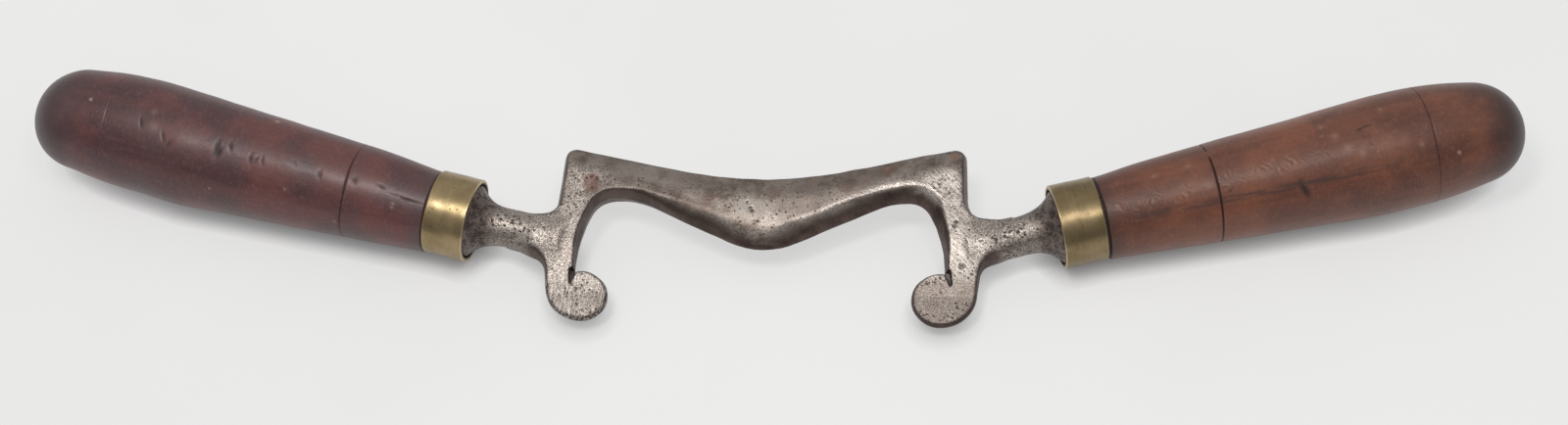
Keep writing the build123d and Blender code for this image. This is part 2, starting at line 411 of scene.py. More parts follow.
def plan(u, v):
    """What the field needs at each place of the plane, worked out once for all heights."""
    out, off = grip_place(u, v)
    flare = np.clip((out - FLARE_START) / (FLARE_EDGE - FLARE_START), 0, 1)
    inside = depth_inside(u, v)
    worn = WORN_SLOPE * near_band(u, v) * soft_min(WORN_WIDTH - inside, 0 * inside, -1.2)
    return {
        "u": u,
        "v": v,
        "inside": inside,
        "half": half_thickness(u, v) - worn,
        "round": rounding(u, v),
        "lean": wall_slope(u, v),
        "out": out,
        "off": off,
        "shift": by_side(SHANK_SHIFT, u) * ramp(out, -4, -12),
        "turned": SHANK_RADIUS + (BOLSTER_RADIUS - SHANK_RADIUS) * flare**FLARE_POWER
                  - ROOT_NARROWING * ramp(out, -17, -25),
    }


def solid(place, w):
    """The field at height w over the places of a plan."""
    height = np.abs(w)
    face = height - place["half"] + place["round"]
    wall = (height * place["lean"] - place["inside"]) * cos(DRAFT) + place["round"]
    plate = np.minimum(np.maximum(face, wall), 0) + np.hypot(np.maximum(face, 0), np.maximum(wall, 0))
    plate = plate - place["round"]

    out, off = place["out"], place["off"]
    radius = np.hypot(off - place["shift"], w)
    ends = np.maximum(SHANK_ROOT - out, out - END_GRAIN)
    shank = np.maximum((radius - place["turned"]) * 0.8, ends)

    half = tang_half(out)
    over_off, over_up = (np.maximum(x - half + TANG_CORNER, 0) for x in (np.abs(off), height))
    corner = np.hypot(over_off, over_up) - TANG_CORNER
    sides = np.maximum(np.maximum(np.abs(off), height) - half, corner)
    tang = np.maximum(sides, np.maximum(-1 - out, out - END_GRAIN - TANG_LENGTH))

    u, v = place["u"], place["v"]
    uneven = 0.10 * waves(u, v, w, 17, UNEVEN_SEED) + 0.05 * waves(u, v, w, 7, UNEVEN_SEED + 1)
    uneven = uneven * ramp(out, 1.5, 0.5) * (1 - 0.6 * ramp(out, -26, -20))
    blend = 1.0 + 3.0 * ramp(out, -14, -20)
    return np.minimum(soft_min(plate, shank, blend) + uneven, tang)


def surface_net(axes, field):
    """Quad skin of the field's zero surface: one vertex in each grid cell that the surface crosses."""
    cells = tuple(n - 1 for n in field.shape)
    inside = field < 0
    hits = np.zeros(np.prod(cells))
    sums = np.zeros((3, np.prod(cells)))
    quads = []
    for axis in range(3):
        b, c = (axis + 1) % 3, (axis + 2) % 3
        lower = tuple(slice(0, -1) if i == axis else slice(None) for i in range(3))
        upper = tuple(slice(1, None) if i == axis else slice(None) for i in range(3))
        at = np.argwhere(inside[lower] != inside[upper])
        after = at.copy()
        after[:, axis] += 1
        first, second = field[tuple(at.T)], field[tuple(after.T)]
        points = np.stack([axes[i][at[:, i]] for i in range(3)])
        share = first / (first - second)
        points[axis] += share * (axes[axis][after[:, axis]] - points[axis])
        ring = []
        for step_b, step_c in ((1, 1), (0, 1), (0, 0), (1, 0)):
            cell = at.copy()
            cell[:, b] -= step_b
            cell[:, c] -= step_c
            index = np.ravel_multi_index(tuple(cell.T), cells)
            ring.append(index)
            hits += np.bincount(index, minlength=len(hits))
            for i in range(3):
                sums[i] += np.bincount(index, points[i], minlength=len(hits))
        ring = np.stack(ring, 1)
        quads.append(np.where((first < 0)[:, None], ring, ring[:, ::-1]))
    used = np.flatnonzero(hits)
    number = np.zeros(len(hits), int)
    number[used] = np.arange(len(used))
    return (sums[:, used] / hits[used]).T, number[np.concatenate(quads)]


def slope_of_field(points, step=0.05):
    """The field and its gradient at free points."""
    u, v, w = points.T
    here = plan(u, v)
    value = solid(here, w)
    gradient = np.stack([
        solid(plan(u + step, v), w) - solid(plan(u - step, v), w),
        solid(plan(u, v + step), w) - solid(plan(u, v - step), w),
        solid(here, w + step) - solid(here, w - step),
    ], 1) / (2 * step)
    return value, gradient, here


def forging_grid(cell):
    """Grid lines: even over the plate, shanks and bolsters, wide apart in u along the hidden tangs."""
    past_bolster = RIM_U + (END_GRAIN + 3) * cos(GRIP_SLOPE) + 2.5
    past_tang = RIM_U + (END_GRAIN + TANG_LENGTH) * cos(GRIP_SLOPE) + 4
    plate = np.arange(-round(past_bolster / cell), round(past_bolster / cell) + 1) * cell
    tangs = np.linspace(plate[-1], past_tang, TANG_LINES)[1:]
    us = np.concatenate((-tangs[::-1], plate, tangs))
    vs = np.arange(*PLATE_REACH, cell)
    ws = (np.arange(-round(HALF_HEIGHT / cell), round(HALF_HEIGHT / cell)) + 0.5) * cell
    return us, vs, ws


# Pits deep enough to be seen as shapes: (u, v, radius, depth). The rest are strewn by seed.
DEEP_PITS = [
    (55.0, -14.7, 0.9, 0.45), (54.5, -15.9, 0.75, 0.4), (56.0, -13.6, 0.5, 0.3), (58.7, -17.1, 0.65, 0.35),
    (57.6, -16.7, 0.5, 0.3), (60.5, -14.6, 0.5, 0.3), (56.7, -27.9, 0.95, 0.5), (48.4, -2.3, 0.5, 0.3),
    (-3.3, -11.7, 0.7, 0.4), (-3.7, -10.8, 0.6, 0.35), (-4.8, -9.1, 0.5, 0.3), (-1.7, -14.8, 0.5, 0.3),
    (-7.7, -8.2, 0.45, 0.25), (33.3, -0.5, 0.4, 0.25), (66.5, -20.2, 0.8, 0.4), (68.8, -19.1, 0.7, 0.35),
    (72.6, -17.8, 0.75, 0.4), (-72.0, -16.5, 0.6, 0.3), (-75.0, -15.5, 0.55, 0.3), (-69.5, -16.8, 0.5, 0.3),
]


def strewn_pits():
    """Seeded pits, closest together on the arms and round the shanks."""
    rng = np.random.default_rng(PIT_SEED)
    pits = []
    while len(pits) < STREWN_PITS:
        u, v = rng.uniform(-78, 78), rng.uniform(-44, 8)
        crowd = 0.05 + 0.95 * float(ramp(abs(u), 44, 54))
        if rng.uniform() < crowd:
            pits.append((u, v, rng.uniform(0.25, 0.5), rng.uniform(0.08, 0.24), rng.choice((-1, 1))))
    return pits


def press_pits(points, normal):
    """Press the pits into the skin's points. Gives how deep in a pit each point is, 0 to 1."""
    hole = np.zeros(len(points))
    for u, v, radius, depth, face in [(*pit, 1) for pit in DEEP_PITS] + strewn_pits():
        near = (np.abs(points[:, 0] - u) < radius) & (np.abs(points[:, 1] - v) < radius)
        close = np.flatnonzero(near & (normal[:, 2] * face > 0.35))
        gap = np.hypot(points[close, 0] - u, points[close, 1] - v) / radius
        bowl = np.clip(1 - gap**2, 0, 1) ** 1.5
        hole[close] = np.maximum(hole[close], bowl * min(1, depth / 0.3))
        points[close] -= normal[close] * (bowl * depth)[:, None]
    return hole


def forging():
    """The one-piece steel frame."""
    axes = forging_grid(0.45)
    u, v = np.meshgrid(axes[0], axes[1], indexing="ij")
    place = {name: values[..., None] for name, values in plan(u, v).items()}
    points, quads = surface_net(axes, solid(place, axes[2][None, None, :]))
    for _ in range(2):
        value, gradient, here = slope_of_field(points)
        length = np.maximum((gradient**2).sum(1), 0.2)
        step = np.clip(value / length, -0.3, 0.3)
        points = points - step[:, None] * gradient
    normal = gradient / np.maximum(np.linalg.norm(gradient, axis=1), 1e-6)[:, None]
    hole = press_pits(points, normal)

    piece = add_piece("forged_frame", to_row(points), quads.tolist(), "blade_frame")
    u, v, _ = points.T
    inside, up, edge = here["inside"], normal[:, 2], edge_depth(u, v)
    bevel = ramp(edge, BEVEL_WIDTH + 1.5, BEVEL_WIDTH - 2.5) * (inside < BEVEL_WIDTH + 3)
    left_band = ramp(edge, 5, 9) * ramp(u, -6, -14) * ramp(u, -54, -48) * ramp(v, -24, -18)
    add_values(
        piece,
        tool=points,
        wall=ramp(np.abs(up), 0.88, 0.66),
        bevel=bevel * ramp(np.abs(u), 62, 58),
        arm=ramp(np.abs(u), 34, 50) * ramp(v, 6, -2),
        rim=ramp(inside, 1.7, 0.7) * ramp(v, -24, -30),
        # shine: the right flank's worn band on its upward faces, polished steel with a painted highlight laid
        # over it
        shine=near_band(u, v) * ramp(inside, 6.0, 4.5) * ramp(up, 0.84, 0.95),
        # painted shade over the left flank's upward roll-over, where the lights would show a highlight line
        dulled=left_band * ramp(inside, 7.0, 4.2) * ramp(up, 0.35, 0.6),
        # pit: the pressed pits, and painted shade in the slits between the arms' feet and the scrolls
        pit=np.maximum(hole, notch(u, v)),
        out=here["out"],
    )
    return piece


# ---- Turned pieces: ferrules and grips


def turned_piece(name, side, angles, distance, radius, node, closed, bend=0.0):
    """Closed skin of rings about a grip's axis.

    Distance and radius are (ring, angle) arrays. Angle 0 is the tool's upper side and a quarter turn is
    towards the hollow edge. Closed joins the last ring to the first; otherwise both ends get a point. Bend is
    how far the axis leans towards the hollow edge for each mm beyond the grip's start.
    """
    origin, along, across = grip_axes(side)
    off, up = radius * np.sin(angles), radius * np.cos(angles)
    lean = off + bend * np.maximum(distance - GRIP_START, 0)
    u = origin[0] + along[0] * distance + across[0] * lean
    v = origin[1] + along[1] * distance + across[1] * lean
    points = np.stack((u, v, up), -1).reshape(-1, 3)
    local = np.stack((distance, off, up), -1).reshape(-1, 3)
    rings, count = distance.shape
    here = np.arange(count)
    after = np.roll(here, -1)
    quads = []
    for ring in range(rings if closed else rings - 1):
        start, end = ring * count, (ring + 1) % rings * count
        quads += np.stack((start + here, start + after, end + after, end + here), 1).tolist()
    if not closed:
        for ring in (0, rings - 1):
            middle = distance[ring].mean()
            lean = across * bend * max(middle - GRIP_START, 0)
            pole = np.array((*(origin + along * middle + lean), 0.0))
            points, local = np.vstack((points, pole)), np.vstack((local, (middle, 0, 0)))
            fan = [(ring * count + i, ring * count + (i + 1) % count, len(points) - 1) for i in range(count)]
            quads += [face[::-1] for face in fan] if ring == 0 else fan
    if side > 0:
        quads = [face[::-1] for face in quads]
    piece = add_piece(name, to_row(points), quads, node)
    add_values(piece, local=local)
    return piece


def arc_points(centre, radius, start, end, steps):
    """Points of an arc of (distance, radius), from one angle to another."""
    at = np.linspace(start, end, steps)
    return [(centre[0] + radius * cos(a), centre[1] + radius * sin(a)) for a in at]


def ferrule(name, side, node, seed):
    """Brass tube with rounded rims, a little out of round and lightly dinged."""
    inner, outer, rim, bore_rim = FERRULE_RADIUS - FERRULE_WALL, FERRULE_RADIUS, 0.34, 0.15
    length = FERRULE_LENGTHS[side]
    section = [(s, outer) for s in np.linspace(rim, length - rim, 40)[1:-1]]
    section += arc_points((length - rim, outer - rim), rim, pi / 2, 0, 6)
    section += arc_points((length - bore_rim, inner + bore_rim), bore_rim, 0, -pi / 2, 4)
    section += [(s, inner) for s in np.linspace(length - 0.3, 0.3, 12)[1:-1]]
    section += arc_points((0.2, inner + 0.2), 0.2, 1.5 * pi, pi, 4)
    section += arc_points((rim, outer - rim), rim, pi, pi / 2, 6)
    section = np.array(section)
    distance = np.repeat(section[:, :1], AROUND, 1)
    radius = np.repeat(section[:, 1:], AROUND, 1)
    x, y, z = distance, radius * np.sin(ANGLES), radius * np.cos(ANGLES)
    outer_skin = ramp(radius, inner + 0.5, outer - 0.2)
    uneven = 0.035 * waves(x, y, z, 14, seed) + 0.02 * waves(x, y, z, 4.5, seed + 1)
    lip = ramp(distance, 1.2, 0.2) * 0.07 * waves(x * 0, y, z, 5, seed + 2)
    distance = distance + lip * outer_skin
    radius = radius + uneven * outer_skin
    return turned_piece(name, side, ANGLES, distance, radius, node, closed=True)


def grip_outline(length):
    """Radius of the bare grip at a distance from its start: taper, bow and domed butt."""
    centre = np.array((WIDEST_AT, WIDEST_RADIUS - BOW_RADIUS))
    front = np.array((0.0, FRONT_RADIUS)) - centre
    turn = atan2(front[1], front[0]) - acos(BOW_RADIUS / np.linalg.norm(front))
    bow_start = centre + BOW_RADIUS * np.array((cos(turn), sin(turn)))
    beyond = length - centre[0]
    butt = (BOW_RADIUS**2 - centre[1] ** 2 - beyond**2) / (2 * (BOW_RADIUS - beyond))
    to_butt = np.array((length - butt, 0.0)) - centre
    butt_start = (centre + to_butt / np.linalg.norm(to_butt) * BOW_RADIUS)[0]

    def radius(s):
        taper = FRONT_RADIUS + (bow_start[1] - FRONT_RADIUS) * s / bow_start[0]
        bow = centre[1] + np.sqrt(np.maximum(BOW_RADIUS**2 - (s - centre[0]) ** 2, 0))
        dome = np.sqrt(np.maximum(butt**2 - (s - length + butt) ** 2, 0))
        return np.where(s < bow_start[0], taper, np.where(s < butt_start, bow, dome))

    return radius


def bruise(skin, at, around, length, width, tilt):
    """Height of one bruise, 0 to 1: an oval whose long side runs round the grip at tilt 0."""
    ds, da = skin.s - at, skin.arc - around
    lengthways = da * cos(tilt) + ds * sin(tilt)
    sideways = ds * cos(tilt) - da * sin(tilt)
    return np.exp(-((lengthways / length) ** 2 + (sideways / width) ** 2) * 2.5)


def press_bruises(skin, bruises, length, seed):
    """Press in the listed bruises, then small seeded ones all over."""
    for at, degrees_round, long, wide, depth, tilt in bruises:
        height = bruise(skin, at, radians(degrees_round) * SKIN_RADIUS, long, wide, radians(tilt))
        skin.r = skin.r - depth * height
        skin.dark = np.maximum(skin.dark, height * min(1.0, depth * 4))
    rng = np.random.default_rng(seed + 40)
    for _ in range(26):
        at, around = rng.uniform(4, length - 8), rng.uniform(-pi, pi) * SKIN_RADIUS
        size, depth = rng.uniform(0.5, 1.6), rng.uniform(0.02, 0.09)
        height = bruise(skin, at, around, size, size * rng.uniform(0.3, 1), rng.uniform(-1, 1))
        skin.r = skin.r - depth * height
        skin.dark = np.maximum(skin.dark, height * depth * 3)


def cut_score(skin, at, depth, turn, back, gaps, seed):
    """Cut one scored ring: full depth at its turn, down to the back share opposite, broken at its gaps."""
    x, y, z = skin.place
    centre = at + 0.18 * waves(x * 0, y, z, 20, seed + 7)
    strength = depth * (1 - (1 - back) * ramp(np.abs(skin.turn - turn), 0.5, 1.5))
    for gap_turn, gap_width in gaps:
        strength = strength * (1 - 0.92 * np.exp(-(((skin.turn - gap_turn) / gap_width) ** 2)))
    skin.r = skin.r - SCORE_DEPTH * strength * np.exp(-(((skin.s - centre) / SCORE_WIDTH) ** 2))
    grime = 0.7 * strength * np.exp(-(((skin.s - centre) / (1.25 * SCORE_WIDTH)) ** 2))
    skin.dark = np.maximum(skin.dark, grime)


def add_chatter(skin, turn, width, seed):
    """A band of cross ripples along the grip, as a skating tool leaves them, with a painted highlight on
    their crests and painted shade in their troughs.
    """
    x, y, z = skin.place
    band = np.exp(-(((np.degrees(skin.turn) - turn + 3 * np.sin(skin.s / 9)) / width) ** 2))
    band = band * ramp(skin.s, 1, 5) * ramp(skin.s, 92, 70)
    patchy = ramp(waves(x, y, z, 9, seed + 9), -0.7, 0.6) * ramp(waves(x, y, z, 3.4, seed + 11), -0.5, 0.6)
    ripple = np.sin(2 * pi * (skin.s + 0.35 * skin.arc + 1.1 * waves(x, y, z, 6, seed + 10)) / 1.5)
    skin.r = skin.r + 0.09 * band * patchy * ripple
    # painted highlight on the ripples' crests and painted shade in their troughs
    skin.pale = np.maximum(skin.pale, 0.30 * band * patchy * np.maximum(ripple, 0))
    skin.dark = np.maximum(skin.dark, 0.42 * band * patchy * np.maximum(-ripple, 0))


def ring_places(length, shoulder, scores, spacing):
    """Distances of the skin's rings, closer together at the scores and over the butt's dome."""
    places = [shoulder + 0.25]
    while places[-1] < length - 3.0:
        near = min(abs(places[-1] - score[0]) for score in scores)
        places.append(places[-1] + (0.13 if near < 1.1 else spacing))
    last = places[-1]
    dome = [last + (length - last) * sin(t * pi / 2) for t in np.linspace(0, 1, 26)[1:-1]]
    return np.array(places + dome)


def grip_hollow(side, shoulder, front):
    """Rings (distance, radius, 1 if square) from the socket's end to the front edge, and how many are lip."""
    seat = FERRULE_RADIUS - FERRULE_WALL - 0.02
    socket_end = END_GRAIN + TANG_LENGTH + SOCKET_CLEARANCE
    rings = [(socket_end, tang_half(socket_end) * 0.5, 1), (socket_end, tang_half(socket_end), 1)]
    rings += [(s, tang_half(s) + 0.03, 1) for s in np.linspace(socket_end, END_GRAIN, 5)[1:]]
    rings += [(END_GRAIN, r, 0) for r in np.linspace(6.6, seat - 0.3, 3)] + [(END_GRAIN + 0.3, seat, 0)]
    edge, gap = GRIP_START + shoulder, FERRULE_LENGTHS[side] + 0.04
    rings += [(s, seat, 0) for s in np.linspace(END_GRAIN + 1.5, edge - 0.25, 4) if s < gap - 0.1]
    lip = [(gap - 0.02, seat, 0), (gap, FERRULE_RADIUS - 0.45, 0), (edge - 0.05, FERRULE_RADIUS - 0.4, 0),
           (edge, front - 0.3, 0), (edge + 0.1, front - 0.08, 0)]
    return np.array(rings + lip), len(lip)


def grip(name, side, node, length, shoulder, neck, bend, scores, bruises, scuffs, seed, chatter=None):
    """Turned grip: seat in the ferrule, square socket round the tang, scored rings, bruises and wear."""
    outline_radius = grip_outline(length)
    places = ring_places(length, shoulder, scores, 0.38 if chatter else 0.42)
    hollow, lip_rings = grip_hollow(side, shoulder, float(outline_radius(shoulder)) - neck)

    s = np.repeat(places[:, None], AROUND, 1)
    r = outline_radius(s) - neck * ramp(s, 19, -3) * (0.6 + 0.4 * np.sin(ANGLES))
    trim = BUTT_TRIM[side] * ramp(s, length - 50, length - 34) * ramp(s, length, length - 16)
    r = r - trim * (0.5 - 0.5 * np.sin(ANGLES))
    turn = np.minimum(ANGLES, 2 * pi - ANGLES) * np.sign(pi - ANGLES)  # 0 on top, positive to the far side
    x, y, z = s, r * np.sin(ANGLES), r * np.cos(ANGLES)
    fade = ramp(s, length, length - 6) * ramp(s, 0.2, 3)
    r = r + fade * (0.06 * waves(x, y, z, 34, seed) + 0.03 * waves(x, y, z, 11, seed + 1))
    skin = SimpleNamespace(s=s, r=r, turn=turn, arc=turn * SKIN_RADIUS, place=(x, y, z),
                           dark=np.zeros_like(r), pale=np.zeros_like(r))
    for score in scores:
        cut_score(skin, *score, seed)
    press_bruises(skin, bruises, length, seed)
    for at, degrees_round, size, strength in scuffs:
        gap = np.hypot(s - at, skin.arc - radians(degrees_round) * SKIN_RADIUS) / size
        skin.pale = np.maximum(skin.pale, strength * np.exp(-(gap**2)))
    if chatter:
        add_chatter(skin, *chatter, seed)

    squareness = 1 / np.maximum(np.abs(np.cos(ANGLES)), np.abs(np.sin(ANGLES)))
    distance = np.vstack((np.repeat(hollow[:, :1], AROUND, 1), s + GRIP_START))
    radius = np.vstack((hollow[:, 1:2] * np.where(hollow[:, 2:3] > 0, squareness, 1.0), skin.r))
    distance[-1], radius[-1] = GRIP_START + length - 0.004, 0.35
    piece = turned_piece(name, side, ANGLES, distance, radius, node, False, bend)

    def on_piece(hidden, values):
        """Values for the hollow's rings, the skin's rings and the two end points."""
        return np.concatenate((hidden.ravel(), values.ravel(), (0.0, 0.0)))

    unmarked = np.zeros((len(hollow), AROUND))
    shaded = unmarked.copy()
    # painted shade on the lip rings, in the gap between the ferrule and the grip's shoulder
    shaded[-lip_rings:-1] = 0.7
    add_values(
        piece,
        dark=on_piece(shaded, skin.dark),
        pale=on_piece(unmarked, skin.pale),
        turn=on_piece(unmarked + turn, s * 0 + turn),
        end=np.full(len(piece.data.vertices), length),
    )
    return piece


# ---- Materials


class Nodes:
    """Short names for building the nodes of one material or world. A colour of three numbers is as seen."""

    def __init__(self, owner):
        owner.use_nodes = True
        self.owner, self.tree = owner, owner.node_tree

    def add(self, kind, inputs=None, **settings):
        node = self.tree.nodes.new(kind)
        for key, value in settings.items():
            setattr(node, key, value)
        for key, value in (inputs or {}).items():
            self.plug(value, node.inputs[key])
        return node

    def plug(self, value, socket):
        if isinstance(value, bpy.types.NodeSocket):
            self.tree.links.new(value, socket)
        elif socket.type == "RGBA" and len(value) == 3:
            socket.default_value = as_seen(*value)
        else:
            socket.default_value = value

    def value(self, name):
        """A number stored on the piece's vertices."""
        return self.add("ShaderNodeAttribute", attribute_name=name).outputs["Fac"]

    def vector(self, name):
        return self.add("ShaderNodeAttribute", attribute_name=name).outputs["Vector"]

    def moved(self, vector, by):
        return self.add("ShaderNodeVectorMath", {0: vector, 1: by}, operation="ADD").outputs[0]

    def stretched(self, vector, scale, turn=(0.0, 0.0, 0.0)):
        """Texture coordinates, turned and then scaled."""
        turned = self.add("ShaderNodeMapping", {"Vector": vector, "Rotation": turn}).outputs["Vector"]
        return self.add("ShaderNodeMapping", {"Vector": turned, "Scale": scale}).outputs["Vector"]

    def noise(self, vector, scale, detail=3.0, rough=0.55, distort=0.0):
        return self.add("ShaderNodeTexNoise", {"Vector": vector, "Scale": scale, "Detail": detail,
                                               "Roughness": rough, "Distortion": distort}).outputs["Fac"]

    def cells(self, vector, scale):
        """Distance to the nearest of scattered points."""
        return self.add("ShaderNodeTexVoronoi", {"Vector": vector, "Scale": scale}).outputs["Distance"]

    def step(self, value, low, high, to_low=0.0, to_high=1.0):
        """Smooth step of a value between two levels."""
        levels = {"Value": value, "From Min": low, "From Max": high, "To Min": to_low, "To Max": to_high}
        return self.add("ShaderNodeMapRange", levels, interpolation_type="SMOOTHSTEP").outputs["Result"]

    def math(self, kind, a, b=0.0):
        return self.add("ShaderNodeMath", {0: a, 1: b}, operation=kind).outputs[0]

    def times(self, *values):
        return reduce(lambda a, b: self.math("MULTIPLY", a, b), values)

    def plus(self, *values):
        return reduce(lambda a, b: self.math("ADD", a, b), values)

    def minus(self, a, b):
        return self.math("SUBTRACT", a, b)

    def most(self, a, b):
        return self.math("MAXIMUM", a, b)

    def less(self, value):
        """One minus the value."""
        return self.minus(1.0, value)

    def mix(self, share, a, b, blend="MIX"):
        node = self.add("ShaderNodeMix", {0: share}, data_type="RGBA", blend_type=blend)
        self.plug(a, node.inputs[6])
        self.plug(b, node.inputs[7])
        return node.outputs[2]

    def over(self, colour, top, *shares):
        """The colour with another laid over it, by the product of the shares."""
        return self.mix(self.times(*shares), colour, top)

    def bump(self, height, distance):
        inputs = {"Height": height, "Distance": distance, "Strength": 1.0}
        return self.add("ShaderNodeBump", inputs).outputs["Normal"]

    def parts(self, vector):
        """The three numbers of a vector."""
        return self.add("ShaderNodeSeparateXYZ", {"Vector": vector}).outputs

    def finish(self, **inputs):
        """The material, with its shader's inputs plugged in."""
        shader = self.tree.nodes["Principled BSDF"]
        for key, value in inputs.items():
            self.plug(value, shader.inputs[key.replace("_", " ")])
        return self.owner


def new_look(name):
    return Nodes(bpy.data.materials.new(name))


def as_seen(red, green, blue):
    """Linear colour of a colour as it is seen, each part from 0 to 255."""
    seen = [part / 255 for part in (red, green, blue)]
    return (*(part / 12.92 if part <= 10 / 255 else ((part + 0.055) / 1.055) ** 2.4 for part in seen), 1.0)


def spot(n, m, u, v, size):
    """A ragged round spot on the forging, 1 in its middle."""
    du, dv = n.minus(m.u, u), n.minus(m.v, v)
    gap = n.math("SQRT", n.plus(n.times(du, du), n.times(dv, dv)))
    gap = n.plus(gap, n.times(n.minus(m.patches, 0.5), size * 1.6))
    return n.step(gap, size * 1.1, size * 0.45)


def steel_places(n):
    """Where on the forging a point is, and the noises that its marks share."""
    tool = n.vector("tool")
    m = SimpleNamespace(tool=tool)
    m.u, m.v, m.w = n.parts(tool)
    for name in ("wall", "bevel", "arm", "rim", "pit", "out", "shine", "dulled"):
        setattr(m, name, n.value(name))
    m.on_shank = n.step(m.out, -22.0, -15.0)
    m.any_wall = m.wall
    m.wall = n.times(m.wall, n.step(m.on_shank, 0.0, 1.0, 1.0, 0.3))
    m.flat = n.less(m.wall)
    m.patches = n.noise(tool, 0.22, 5.0, 0.62)
    m.grains = n.noise(tool, 1.8, 4.0, 0.7)
    m.specks = n.noise(tool, 3.2, 2.0, 0.6)
    return m


def steel_patina(n, m):
    """Ground colour: dull brown-grey, salt-and-pepper where worn bare, dark walls and collars."""
    bare = n.mix(n.step(m.specks, 0.40, 0.64), (112, 101, 94), (222, 214, 206))
    dull = n.mix(n.step(m.grains, 0.40, 0.62), (92, 80, 74), (150, 139, 130))
    face = n.mix(n.step(m.patches, 0.36, 0.64), (98, 82, 74), (152, 141, 133))
    dull = n.over(dull, face, 0.5)
    dull = n.over(dull, (154, 145, 138), n.step(n.noise(m.tool, 0.055, 3.0), 0.42, 0.60), 0.45)
    worn = n.plus(n.times(m.arm, 0.72), n.times(n.step(m.patches, 0.36, 0.66), 0.5))
    worn = n.times(worn, m.flat, n.less(n.times(m.bevel, 0.85)), n.step(m.grains, 0.30, 0.56))
    colour = n.mix(n.math("MINIMUM", worn, 1.0), dull, bare)
    bevelled = n.mix(n.step(m.patches, 0.3, 0.7), (96, 82, 75), (158, 147, 139))
    colour = n.over(colour, bevelled, m.bevel, 0.6)
    side = n.mix(n.step(m.patches, 0.35, 0.65), (62, 48, 45), (88, 72, 67))
    colour = n.over(colour, side, m.wall, 0.9)
    scale = n.step(n.noise(m.tool, 0.5, 4.0, 0.7), 0.38, 0.62)
    collar = n.times(n.step(m.out, -9.0, -4.0), n.step(m.patches, 0.2, 0.5, 0.6, 1.0))
    colour = n.over(colour, n.mix(scale, (44, 37, 36), (124, 110, 104)), collar, 0.85)
    return n.over(colour, (58, 48, 46), m.rim, 0.55)


def steel_wear(n, m, colour):
    """Worn and painted stretches: polish with a painted highlight on the right flank, a paler patch on the
    bar's left face, painted shade on its left flank's edge, darker scrolls, and a painted floor reflection on
    the belly's lower walls.
    """
    # polished steel with a painted highlight along the right flank's worn band
    polish_and_highlight = n.times(m.shine, n.step(m.grains, 0.42, 0.60), n.step(m.patches, 0.3, 0.5))
    colour = n.over(colour, (210, 202, 196), polish_and_highlight, 0.62)
    left_face = n.times(spot(n, m, -31.0, -4.0, 15.0), n.less(m.dulled), m.flat)
    colour = n.over(colour, (176, 167, 160), left_face, 0.3)
    # painted shade on the left flank's edge, to damp the highlight there
    colour = n.over(colour, (80, 69, 63), m.dulled, 0.6)
    disc = n.times(n.step(m.v, -28.0, -33.0), m.flat)
    colour = n.over(colour, (112, 100, 93), disc, n.step(m.u, -5.0, 5.0, 0.12, 0.5))
    mid_length = n.step(n.math("ABSOLUTE", m.u), 40.0, 26.0)
    # painted reflection of the floor on the lower half of the walls along the middle of the bar
    floor_reflection_band = n.times(m.any_wall, n.step(m.w, -1.2, -2.1), mid_length)
    return n.over(colour, (150, 140, 132), floor_reflection_band, 0.6)


STEEL_STAINS = (  # u, v, size, colour, share
    (2.5, -6.0, 3.2, (112, 88, 78), 0.4), (23.5, -3.6, 3.0, (112, 88, 78), 0.4),
    (-16.0, -9.0, 2.6, (112, 88, 78), 0.4),
    (35.7, 1.7, 2.4, (150, 108, 88), 0.3), (54.3, 6.3, 1.6, (170, 112, 72), 0.5),
)


def steel_stains(n, m, colour):
    """Brown stains and rust. Gives the colour and how rusty it is."""
    brown = n.step(n.noise(m.tool, 0.11, 4.0, 0.6), 0.56, 0.72)
    colour = n.over(colour, (110, 78, 64), brown, 0.4, n.less(n.times(m.arm, 0.6)))
    colour = n.over(colour, (172, 164, 156), spot(n, m, -4.3, -10.8, 5.0), 0.35, m.flat)
    rust = n.times(spot(n, m, -50.2, -3.5, 3.4), 0.6)
    colour = n.mix(rust, colour, (122, 80, 70))
    for u, v, size, stain, share in STEEL_STAINS:
        colour = n.over(colour, stain, spot(n, m, u, v, size), share)
    return colour, rust


def steel_holes(n, m):
    """How dark a place is painted: pressed pits with the slits' painted shade, small pits in crowds, big ones
    on the arms and shanks.
    """
    crowded = n.noise(m.tool, 0.16, 3.0, 0.6)
    small = n.times(n.step(n.cells(m.tool, 0.8), 0.30, 0.14), n.step(crowded, 0.40, 0.58),
                    n.less(n.times(m.wall, 0.8)))
    big = n.step(n.cells(n.stretched(m.tool, (1.0, 1.35, 1.0), (0, 0, 0.5)), 0.62), 0.34, 0.2)
    big = n.times(big, n.step(n.plus(crowded, n.times(m.on_shank, 0.1)), 0.42, 0.55),
                  n.most(n.times(m.arm, 0.8), m.on_shank), m.flat)
    # pressed pits, with painted shade in the slits
    pressed = n.times(n.step(m.pit, 0.2, 0.7), 0.85)
    return n.most(pressed, n.most(n.times(small, 0.75), n.times(big, 0.9)))


